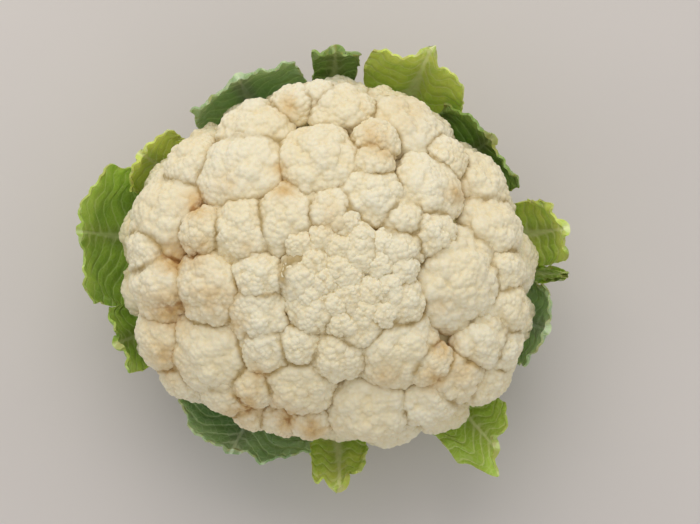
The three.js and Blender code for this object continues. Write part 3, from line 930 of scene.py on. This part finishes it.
def leaf_middle(leaf, row, across):
    """Points of the leaf's inner face before it is ruffled, on the upright plant."""
    along = row * blade_end(leaf, across * smooth_ramp(EDGE_CURVE_START, EDGE_CURVE_FULL, row))
    seen_azimuth = leaf["end"] + across * leaf["width"] / 2 / HEAD_HALF_X
    bowl_radius = outline_radius(seen_azimuth) + BOWL_CLEARANCE + leaf["layer"] * LAYER_STEP
    bowl_depth = BOWL_DEPTH + leaf["layer"] * LAYER_DROP
    root_angle = np.arcsin((LEAF_ROOT_RADIUS / bowl_radius) ** (1 / BOWL_SQUARENESS))
    drop = (HEAD_MIDDLE_HEIGHT - leaf["height"]) / bowl_depth
    end_angle = math.acos(math.copysign(abs(drop) ** (1 / BOWL_SQUARENESS), drop))
    angle = root_angle + (end_angle - root_angle) * along
    overhang = leaf["reach"] - bowl_radius * bowl_share(math.sin(end_angle))
    flare = overhang * along**FLARE_POWER * (1 + leaf["skew"] * across)
    radius = bowl_radius * bowl_share(np.sin(angle)) + flare
    height = HEAD_MIDDLE_HEIGHT - bowl_depth * bowl_share(np.cos(angle))
    turn = (leaf["end"] - leaf["root"]) * smooth_ramp(0, TURN_DONE, along)
    azimuth = leaf["root"] + turn + across * half_width(leaf, along) / radius
    return np.stack([radius * np.cos(azimuth), radius * np.sin(azimuth), height], axis=1)


def leaf_outward(leaf, row, across):
    """Directions that point away from the head, square to the unruffled leaf."""
    along = leaf_middle(leaf, row + TINY, across) - leaf_middle(leaf, row - TINY, across)
    sideways = leaf_middle(leaf, row, across + TINY) - leaf_middle(leaf, row, across - TINY)
    return unit(np.cross(sideways, along))


first_end = leaf_middle(first_leaf, np.ones(1), np.zeros(1))[0]
print("First leaf's end in mm:", np.round(first_end / MM))

# %% [markdown]
# ## Ruffles, puckers and the rib
#
# A blade grows faster at its edge than along its rib, so the edge has to ruffle. Between side
# veins the blade bulges out a little. A pinch of fine crimps finishes the rim. All three
# are heights over the smooth leaf, which grow from the rib outward, and a narrow leaf has
# less of the last two. The thickness is a thin blade plus the rib, which fills the foot.

# %% Leaf relief
WAVES_ROUND_HEAD = 19
WAVES_ALONG = 7
WAVE_EDGE_POWER = 1.5
WAVE_START = 0.5
CRIMP_HEIGHT = 1.1 * MM
CRIMPS_PER_WAVE = 4.3
CRIMP_GROUPS_PER_WAVE = 1.7
CRIMPS_ALONG = 31
CRIMP_EDGE_POWER = 4
CRIMP_END_POWER = 8
CRIMP_START = 0.5
CRIMP_FULL = 0.8
PUCKER_HEIGHT = 0.7 * MM
PUCKER_START = 0.1
PUCKER_FULL = 0.35
BROAD_LEAF = 20 * MM
VEIN_SPACING = 10 * MM
VEIN_SLOPE = 0.9


def ruffles(leaf, row, across, azimuth):
    edge = np.abs(across) ** WAVE_EDGE_POWER * smooth_ramp(WAVE_START, 1, row)
    return leaf["wave"] * edge * np.sin(WAVES_ROUND_HEAD * azimuth + WAVES_ALONG * row)


def crimps(row, across, azimuth):
    rim = np.maximum(np.abs(across) ** CRIMP_EDGE_POWER, row**CRIMP_END_POWER)
    fine = np.sin(CRIMPS_PER_WAVE * WAVES_ROUND_HEAD * azimuth + CRIMPS_ALONG * row)
    groups = np.sin(CRIMP_GROUPS_PER_WAVE * WAVES_ROUND_HEAD * azimuth)
    return CRIMP_HEIGHT * rim * smooth_ramp(CRIMP_START, CRIMP_FULL, row) * fine * groups


def puckers(row, across, from_rib, from_root):
    side = 0.5 * (from_rib > 0)
    vein = (from_root - VEIN_SLOPE * np.abs(from_rib)) / VEIN_SPACING + side
    blade = smooth_ramp(BLADE_START, BLADE_FULL, row)
    beside_rib = smooth_ramp(PUCKER_START, PUCKER_FULL, np.abs(across))
    return PUCKER_HEIGHT * blade * beside_rib * np.sin(math.pi * vein) ** 2


def leaf_relief(leaf, row, across, azimuth, from_rib, from_root):
    """Height of the ruffles, the crimped edge and the puckers between veins."""
    breadth = smooth_ramp(0, BROAD_LEAF, leaf["width"])
    fine = crimps(row, across, azimuth) - puckers(row, across, from_rib, from_root)
    return ruffles(leaf, row, across, azimuth) + breadth * fine


# %% Leaf thickness
PETIOLE_THICKNESS = 6.4 * MM
TIP_RIB_THICKNESS = 2.2 * MM
RIB_WIDTH = 9 * MM
RIB_TAPER_START = 0.1
BLADE_THICKNESS = 1.0 * MM


def leaf_thickness(leaf, row, across):
    taper = smooth_ramp(RIB_TAPER_START, 1, row)
    rib = PETIOLE_THICKNESS + (TIP_RIB_THICKNESS - PETIOLE_THICKNESS) * taper
    rib_share = np.clip(1 - (across * half_width(leaf, row) * 2 / RIB_WIDTH) ** 2, 0, 1)
    petiole = 1 - smooth_ramp(BLADE_START, BLADE_FULL, row)
    rounded = np.sqrt(np.clip(1 - across**2, 0, 1))
    return BLADE_THICKNESS + rib * np.maximum(petiole * rounded, rib_share)


print("First leaf's thickness in mm at its root:", round(leaf_thickness(first_leaf, 0, 0) / MM, 1))

# %% [markdown]
# ## One leaf
#
# A leaf could be drawn as an outline and bent, but a leaf's veins, ruffles and thickness all follow
# its length and breadth. So it starts as a flat grid, whose two directions are kept
# as attributes, and the grid's points are laid into the bowl. A Solidify modifier then
# gives the blade its thickness, with a vertex group that makes the midrib fat and
# the edge thin, just as the real rib stands out on the underside.

# %% Leaf builder
CELLS_ACROSS = 44
CELLS_ALONG = 88
RIM_START = 0.9
LEAF_CREASE = math.radians(50)


def add_leaf(leaf):
    """Builds one leaf in place on the leaning plant and gives the piece."""
    bpy.ops.mesh.primitive_grid_add(x_subdivisions=CELLS_ACROSS, y_subdivisions=CELLS_ALONG, size=2)
    piece = bpy.context.object
    grid = read_points(piece)
    across, row = grid[:, 0], (grid[:, 1] + 1) / 2
    middle = leaf_middle(leaf, row, across)
    azimuth = np.arctan2(middle[:, 1], middle[:, 0])
    length = leaf["reach"] - LEAF_ROOT_RADIUS + leaf["height"] / 2
    from_rib = across * half_width(leaf, row)
    from_root = row * length
    relief = leaf_relief(leaf, row, across, azimuth, from_rib, from_root)
    points = middle + leaf_outward(leaf, row, across) * relief[:, None]
    write_points(piece, lean(points))
    write_attribute(piece, "from_rib", from_rib)
    write_attribute(piece, "from_root", from_root)
    write_attribute(piece, "row", row)
    write_attribute(piece, "rim", np.maximum(np.abs(across), smooth_ramp(RIM_START, 1, row)))
    thickness = leaf_thickness(leaf, row, across)
    group = piece.vertex_groups.new(name="thickness")
    for index, share in enumerate(thickness / thickness.max()):
        group.add([index], float(share), "REPLACE")
    solidify = piece.modifiers.new("thickness", "SOLIDIFY")
    solidify.thickness = float(thickness.max())
    solidify.offset = 1
    solidify.vertex_group = "thickness"
    solidify.material_offset = 1
    bpy.ops.object.modifier_apply(modifier="thickness")
    bpy.ops.object.shade_smooth_by_angle(angle=LEAF_CREASE)
    return piece


# %% [markdown]
# ## The leaves' finish
#
# A cauliflower leaf is waxy. Its inner face is the greener one, its outer face is paler and its
# veins stand out there. The midrib is thick, whitish at the root and yellow green toward the
# end. Side veins leave it by turns left and right, and a fine net joins them. All is drawn
# with the distances from rib and root that every point carries, so it follows the leaf
# wherever it bends. Young leaves are bright, old ones dark or bluish with wax, and each leaf's
# green is moved a little lighter or deeper, partly its own tone and partly painted light and
# shade on that leaf.

# %% Leaf materials
LEAF_TONES = {
    "bright": (colour(208, 222, 104), colour(166, 192, 72), colour(232, 238, 176)),
    "mid": (colour(170, 196, 80), colour(126, 156, 56), colour(210, 222, 154)),
    "dark": (colour(134, 160, 76), colour(94, 120, 50), colour(188, 206, 142)),
    "blue": (colour(160, 184, 134), colour(114, 144, 92), colour(212, 226, 188)),
}
PALE_ROOT = colour(206, 212, 160)
DRY_RIM = colour(168, 152, 84)
NET_SIZE = 3.6 * MM
NEAR_RIB = 7 * MM
RIB_LINE = 3.4 * MM
RIB_LINE_LOSS = 2.6 * MM
VEIN_DEPTH = 0.5 * MM
LEAF_GLOW_DEPTH = 4 * MM
LEAF_GLOW_SHARES = (0.7, 1.0, 0.3)


def leaf_material(tone, outer):
    """One kind of green, for the leaves' inner faces or, paler and with raised veins, the outer."""
    light, deep, vein_colour = LEAF_TONES[tone]
    side = "outer" if outer else "inner"
    material, shader, wire = new_material(f"leaf_{tone}_{side}")
    from_rib = wire.attribute("from_rib")
    from_root = wire.attribute("from_root")
    row = wire.attribute("row")
    beside = from_rib.math("ABSOLUTE", from_rib)
    wander = wire.noise(12 * MM, 2) - 0.5
    turns = from_rib.math("GREATER_THAN", from_rib, 0) * 0.5
    count = (from_root - VEIN_SLOPE * beside) / VEIN_SPACING + turns + 0.5 * wander
    off_vein = count.math("PINGPONG", count, 0.5)
    near_rib = 1 - (beside / NEAR_RIB).ramp(0, 1)
    side_vein = 1 - (off_vein / (1 + 1.4 * near_rib)).ramp(0.03, 0.11)
    net = 1 - wire.cells(NET_SIZE, "DISTANCE_TO_EDGE").ramp(0.02, 0.14)
    rib_line = RIB_LINE - RIB_LINE_LOSS * row.ramp(0.4, 0.85)
    rib = 1 - ((beside + 1.2 * MM * wander) / rib_line).ramp(0.3, 1.4)
    patches = wire.noise(16 * MM, 4).ramp(0.3, 0.7)
    # The shade attribute moves each leaf's green lighter or deeper: partly its own tone, partly painted
    # light and shade.
    green = (patches + wire.attribute("shade")).blend(light, deep)
    veins = side_vein * 0.6 + net * 0.22
    veined = (veins * (0.9 if outer else 0.7)).blend(green, vein_colour)
    ribbed = (rib * 0.65).blend(veined, vein_colour)
    rooted = (1 - row.ramp(0.3, 0.55)).blend(ribbed, PALE_ROOT)
    dry = (wire.attribute("rim") + 0.25 * wander).ramp(0.93, 1.02) * wire.noise(7 * MM, 2).ramp(0.45, 0.6)
    feed(shader, Base_Color=(dry * 0.55).blend(rooted, DRY_RIM))
    feed(shader, Roughness=0.42 + 0.2 * wire.noise(5 * MM, 3))
    height = (side_vein + 1.5 * rib) * (0.6 if outer else -0.5) + net * (0.3 if outer else -0.3)
    bump = wire.node("ShaderNodeBump", None, {"Strength": 0.6, "Distance": VEIN_DEPTH, "Height": height})
    feed(shader, Normal=bump, Specular_IOR_Level=0.45, Subsurface_Weight=0.35)
    feed(shader, Subsurface_Scale=LEAF_GLOW_DEPTH, Subsurface_Radius=LEAF_GLOW_SHARES)
    return material


leaf_finish = {
    tone: (leaf_material(tone, outer=False), leaf_material(tone, outer=True)) for tone in LEAF_TONES
}
print("Leaf materials:", 2 * len(leaf_finish))

# %% Build the leaves
# Below 0 a leaf is lighter, above 0 deeper: partly its own tone, partly painted light and shade, as leaf
# 11 is darkened for the shade on it.
LEAF_TONE_AND_LIGHT = {2: -0.3, 3: -0.35, 5: -0.8, 6: -0.9, 7: -0.25, 11: 0.9, 12: -0.6}

for number, values in enumerate(LEAVES, start=1):
    leaf = leaf_sizes(values)
    piece = add_leaf(leaf)
    shade = LEAF_TONE_AND_LIGHT.get(number, 0)
    write_attribute(piece, "shade", np.full(len(piece.data.vertices), shade))
    inner, outer = leaf_finish[leaf["tone"]]
    set_down(piece, f"blade_{number:02d}", f"leaf_{leaf['tone']}", inner, f"leaf_{number:02d}")
    piece.data.materials.append(outer)
    print(piece.name, "faces:", len(piece.data.polygons))
